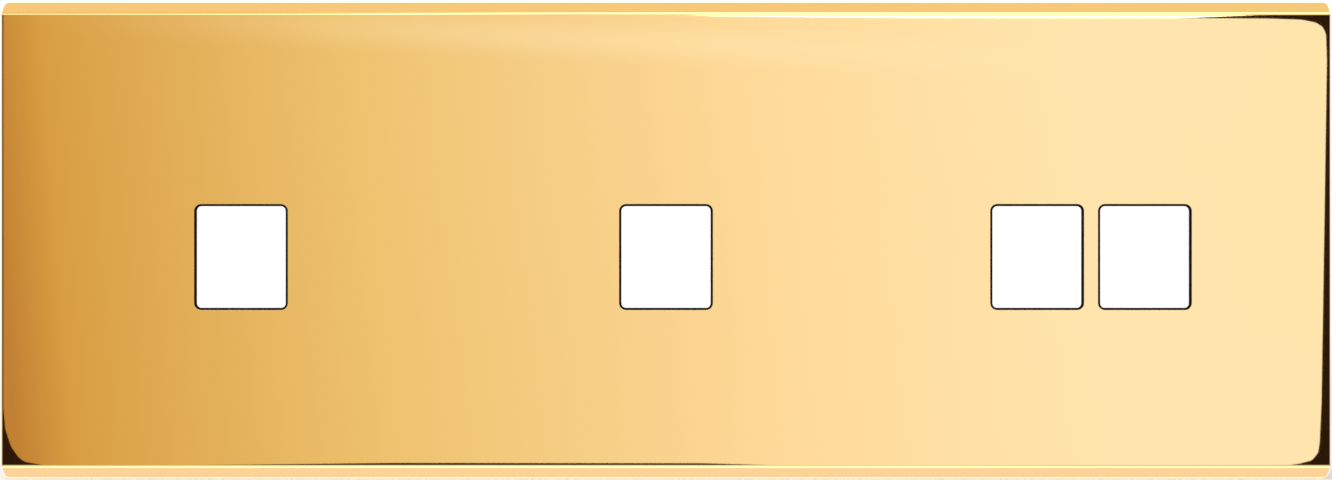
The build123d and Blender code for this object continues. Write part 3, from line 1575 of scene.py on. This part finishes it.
@dataclass
class Studio:
    """Pale floor, white surroundings, soft lamp and the cards that the brass mirrors."""

    face_y: float
    floor_z: float
    half_width: float
    floor_size: float = 60.0
    daylight: Colour = (0.82, 0.82, 0.82)
    glow_outline: Outline = (
        (-110.68, 39.0), (-8.0, 38.2), (8.0, 37.4), (40.0, 37.12), (82.0, 37.1),
        (101.0, 36.98), (106.2, 36.8), (108.6, 36.3), (109.7, 35.6), (110.25, 34.4),
        (110.4, 30.0), (109.5, -27.0), (109.2, -33.8), (108.9, -35.6), (107.9, -36.8),
        (105.6, -37.4), (102.0, -37.9), (28.0, -37.9), (6.0, -37.28), (-45.0, -37.24),
        (-80.0, -37.6), (-104.0, -37.6), (-107.1, -37.05), (-108.1, -36.35), (-109.4, -34.5),
        (-110.35, -31.6), (-110.68, -28.0),
    )
    glare_outline: Outline = (
        (-66.0, 37.4), (82.0, 37.0), (90.0, 37.3), (100.0, 37.7), (108.0, 38.6),
        (108.0, 39.4), (-66.0, 39.4),
    )
    dusk_outline: Outline = ((-112.5, 38.7), (112.5, 38.7), (112.5, -38.7), (-112.5, -38.7))
    glare_strength: float = 4.0
    rear_band: CardPlace = CardPlace(28.0, 0.55, (0.8, 0.07))
    rear_glare: CardPlace = CardPlace(13.0, 0.56, (0.8, 0.2))
    rear_glare_strength: float = 1.7
    overhead: CardPlace = CardPlace(89.5, 0.5, (1.5, 1.2))
    underneath: CardPlace = CardPlace(-84.0, 0.7, (1.2, 0.8))
    under_strength: float = 1.8

    def facing_cards(self) -> None:
        """Build the glowing card, the bright strip above it and the dark edge round them."""
        finishes = (
            ("front_card", SunsetGlow("front_card_glow", self.half_width * SPREAD)),
            ("front_card_glare", PlainGlow("glare", LAMP_WHITE, self.glare_strength)),
            ("front_card_edge", PlainGlow("dusk", DUSK)),
        )
        outlines = (self.glow_outline, self.glare_outline, self.dusk_outline)
        for layer, ((name, finish), outline) in enumerate(zip(finishes, outlines)):
            FacingCard(name, finish.make(), self.face_y, outline, layer).build()

    def sweeps(self) -> None:
        """Build the tall cards on both sides of the camera."""
        for side in Side:
            name = f"{side.name.lower()}_sweep"
            SweepCard(name, SweepGlow(name, side).make(), side).build()

    def slanted_cards(self) -> None:
        """Build the cards above, below and behind the plate, which its leaning sides mirror."""
        glare = PlainGlow("edge_glare", LAMP_WHITE, self.rear_glare_strength).make()
        for end, colour in ((End.TOP, HONEY), (End.BOTTOM, PEACH)):
            name = f"rear_{end.name.lower()}"
            band = PlainGlow(f"{name}_glow", colour).make()
            SlantedCard(f"{name}_card", band, self.rear_band, end).build()
            SlantedCard(f"{name}_glare", glare, self.rear_glare, end).build()
        SlantedCard("overhead_card", OverheadGlow().make(), self.overhead).build()
        below = PlainGlow("under_glow", LAMP_WHITE, self.under_strength).make()
        SlantedCard("under_card", below, self.underneath).build()

    def floor(self) -> None:
        """Build the floor, which keeps the plate's shadow and whitens in the distance."""
        bm = bmesh.new()
        where = Matrix.Translation((0.0, 0.0, self.floor_z))
        bmesh.ops.create_grid(bm, x_segments=1, y_segments=1, size=self.floor_size / 2, matrix=where)
        floor = add_object("floor", bm, [PaleFloor().make()])
        floor.visible_glossy = False

    def surroundings(self) -> None:
        """Set the world: white where it is seen or mirrored, plain soft light elsewhere."""
        world = bpy.data.worlds.new("surroundings")
        world.use_nodes = True
        bpy.context.scene.world = world
        sheet = NodeSheet(world.node_tree)
        rays = sheet.add("ShaderNodeLightPath").outputs
        seen = sheet.maths("MAXIMUM", rays["Is Camera Ray"], rays["Is Transmission Ray"])
        shown = sheet.maths("MAXIMUM", seen, rays["Is Glossy Ray"])
        colour = sheet.blend(shown, self.daylight, WHITE)
        light = sheet.add("ShaderNodeBackground", {"Color": colour, "Strength": 1.0})
        sheet.finish(light.outputs[0], "ShaderNodeOutputWorld")

    def build(self) -> None:
        """Build the whole studio."""
        bpy.context.scene.view_settings.view_transform = "Standard"
        self.surroundings()
        self.floor()
        KeyLamp().build()
        self.facing_cards()
        self.sweeps()
        self.slanted_cards()


def main() -> None:
    logging.basicConfig(level=logging.INFO, format="%(message)s")
    low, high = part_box("face_plate")
    size = high - low
    Camera().build(size.x, low.y)
    Studio(face_y=low.y, floor_z=low.z, half_width=size.x / 2).build()
    layout = GangLayout()
    plate = FacePlate(size.x / MM, size.z / MM, size.y / MM, layout)
    brass = plate.build(PolishedBrass().make(), SatinBrass().make())
    stand_for(brass, "face_plate")
    plastic, strip_steel, zinc = MouldedPlastic().make(), SpringSteel().make(), ZincPlate().make()
    lip_plastic = SHADED_LIP_PLASTIC.make()
    for gang in Gang:
        insert = PortInsert(gang, layout)
        stand_for(insert.build(plastic, lip_plastic), insert.node)
        for end in End:
            clip = SpringClip(gang, end)
            stand_for(clip.build(strip_steel), clip.node)
    screws = FixingScrews(FixingScrew(), layout.screws())
    stand_for(screws.build(zinc), screws.node)


if __name__ == "__main__":
    main()
